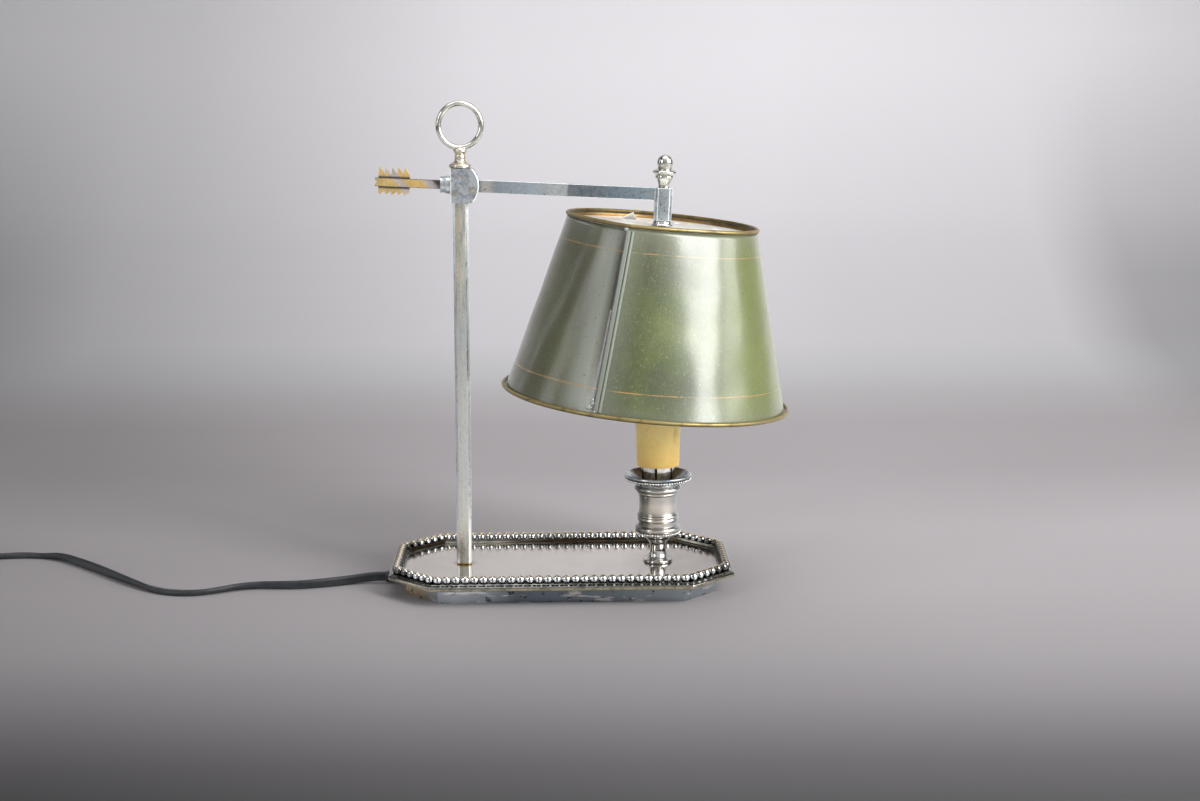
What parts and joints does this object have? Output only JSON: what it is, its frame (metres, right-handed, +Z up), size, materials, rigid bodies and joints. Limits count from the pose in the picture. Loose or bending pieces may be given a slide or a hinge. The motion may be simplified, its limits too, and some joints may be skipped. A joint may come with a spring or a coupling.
{
  "type": "bouillotte desk lamp",
  "caption": "Bouillotte desk lamp: octagonal beaded tray base, square post with ring, sliding arm clamped by an arrow-shaped screw, leaning painted shade and candle lampholder.",
  "frame": {"origin": "centre of the underside of the base", "axes": "+X from the post towards the candle, +Y towards the back, +Z up"},
  "size_m": [0.7228, 0.2022, 0.3395],
  "materials": {
    "silver_plate": "polished silver plate, worn and tarnished in places",
    "tarnished_silver": "blue-grey tarnished silver plate",
    "worn_brass": "silver plate worn through to yellow brass",
    "plain_brass": "turned brass",
    "steel": "zinc-plated steel",
    "green_paint": "aged glossy olive-green paint with thin gilt lines",
    "gilt_rim": "rubbed gilt paint",
    "ivory_sleeve": "satin, yellowed ivory",
    "dark_phenolic": "glossy dark moulding",
    "bulb_cap": "satin",
    "bulb_glass": "frosted inside",
    "felt": "dense felt",
    "black_cord": "satin, ribbed along its length",
    "lead_insulation": "matt",
    "black_moulding": "satin",
    "rocker": "gloss"
  },
  "bodies": {
    "stand": {"tray_plate": "silver_plate", "edge_moulding": "silver_plate", "bead_row": "silver_plate", "base_skirt": "silver_plate", "bottom_lugs": "plain_brass", "bottom_plate": "steel", "felt_pad": "felt", "bottom_screws": "steel", "cord_bushing": "black_cord", "post": "silver_plate", "post_washer": "steel", "post_nut": "plain_brass", "ring_collar": "silver_plate", "ring_handle": "silver_plate", "candle_stem": "silver_plate", "nozzle_cup": "silver_plate", "drip_pan": "silver_plate", "split_collar": "silver_plate", "nipple": "plain_brass", "nipple_washer": "steel", "nipple_nut": "plain_brass", "holder_leg": "steel", "leg_nut": "plain_brass", "holder_body": "dark_phenolic", "screw_shell": "plain_brass", "centre_contact": "plain_brass", "candle_sleeve": "ivory_sleeve", "bulb_cap": "bulb_cap", "bulb_glass": "bulb_glass", "lamp_leads": "lead_insulation", "cord_run": "black_cord", "cord_coil": "black_cord", "cord_tie": "black_cord", "plug_body": "black_moulding", "plug_blades": "plain_brass", "switch_base": "black_moulding", "switch_cover": "black_moulding", "switch_screws": "steel"},
    "carriage": {"slider_block": "tarnished_silver", "arm": "tarnished_silver", "arm_finial": "silver_plate", "shade_rod": "steel", "shade_spacer": "silver_plate", "lower_washer": "steel", "shade_nut": "plain_brass"},
    "arrow": {"arrow_shaft": "worn_brass", "arrow_vanes": "worn_brass"},
    "shade": {"shade_shell": "green_paint", "shade_seam": "green_paint", "top_rim_wire": "gilt_rim", "bottom_rim_wire": "gilt_rim", "shade_plate": "silver_plate"},
    "rocker": {"switch_rocker": "rocker"}
  },
  "joints": [
    {"name": "arm_slide", "type": "slide", "parent": "stand", "child": "carriage", "axis": [0.007, 0, 1], "range_m": [-0.041, 0]},
    {"name": "arrow_turn", "type": "hinge", "parent": "carriage", "child": "arrow", "pos_m": [-0.06713, 0, 0.28209], "axis": [-0.9988, 0, 0.0489], "range_deg": [0, 360]},
    {"name": "shade_swivel", "type": "hinge", "parent": "carriage", "child": "shade", "pos_m": [0.07121, 0, 0.253], "axis": [0.0976, 0, 0.9952], "continuous": true},
    {"name": "switch_rock", "type": "hinge", "parent": "stand", "child": "rocker", "pos_m": [-0.46505, 0.06375, 0.011], "axis": [-0.2588, 0.9659, 0], "range_deg": [-7, 7]}
  ]
}
